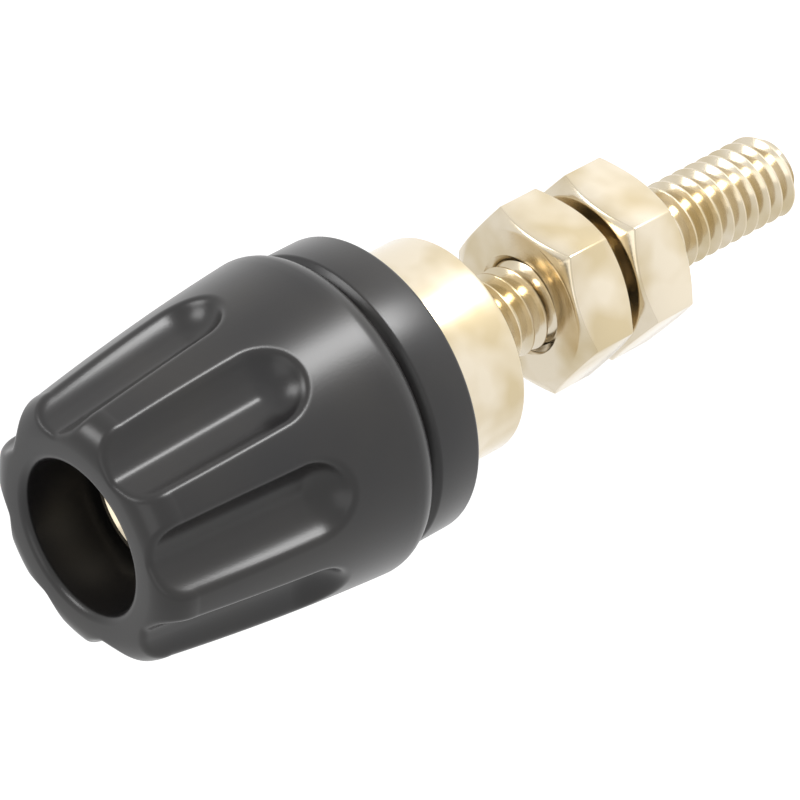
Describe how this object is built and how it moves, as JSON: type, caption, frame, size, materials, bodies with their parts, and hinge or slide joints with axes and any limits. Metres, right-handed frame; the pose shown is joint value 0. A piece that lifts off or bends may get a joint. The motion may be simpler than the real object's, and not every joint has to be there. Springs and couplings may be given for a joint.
{
  "type": "binding post",
  "caption": "Panel-mount binding post: fluted clamping knob over a plug socket and cross wire hole, round flange, and a threaded stud with hex nuts.",
  "frame": {"origin": "centre of the flange's seat, the face that bears on the panel", "axes": "+Z along the post's axis, out of the panel towards the knob's mouth; the stud runs along -Z; the cross wire hole runs along X"},
  "size_m": [0.0152, 0.0152, 0.0415],
  "materials": {
    "plated_post": "bright nickel plate",
    "insert_brass": "turned, unplated",
    "knob_plastic": "moulded, satin gloss",
    "plated_nut": "bright nickel plate"
  },
  "bodies": {
    "post": {"post": "plated_post"},
    "threaded_insert": {"threaded_insert": "insert_brass"},
    "knob": {"knob": "knob_plastic"},
    "front_nut": {"front_nut": "plated_nut"},
    "rear_nut": {"rear_nut": "plated_nut"}
  },
  "joints": [
    {"name": "insert_travel", "type": "slide", "parent": "post", "child": "threaded_insert", "axis": [0, 0, 1], "range_m": [0, 0.00453]},
    {"name": "knob_turn", "type": "hinge", "parent": "threaded_insert", "child": "knob", "pos_m": [0, 0, 0.0083], "axis": [0, 0, 1], "range_deg": [0, 1800]},
    {"name": "front_nut_travel", "type": "slide", "parent": "post", "child": "front_nut", "axis": [0, 0, 1], "range_m": [0, 0.0045]},
    {"name": "rear_nut_travel", "type": "slide", "parent": "post", "child": "rear_nut", "axis": [0, 0, -1], "range_m": [0, 0.0086]}
  ],
  "couplings": [
    {"joint": "knob_turn", "follows": "insert_travel", "rad_per_m": 6926.4}
  ]
}
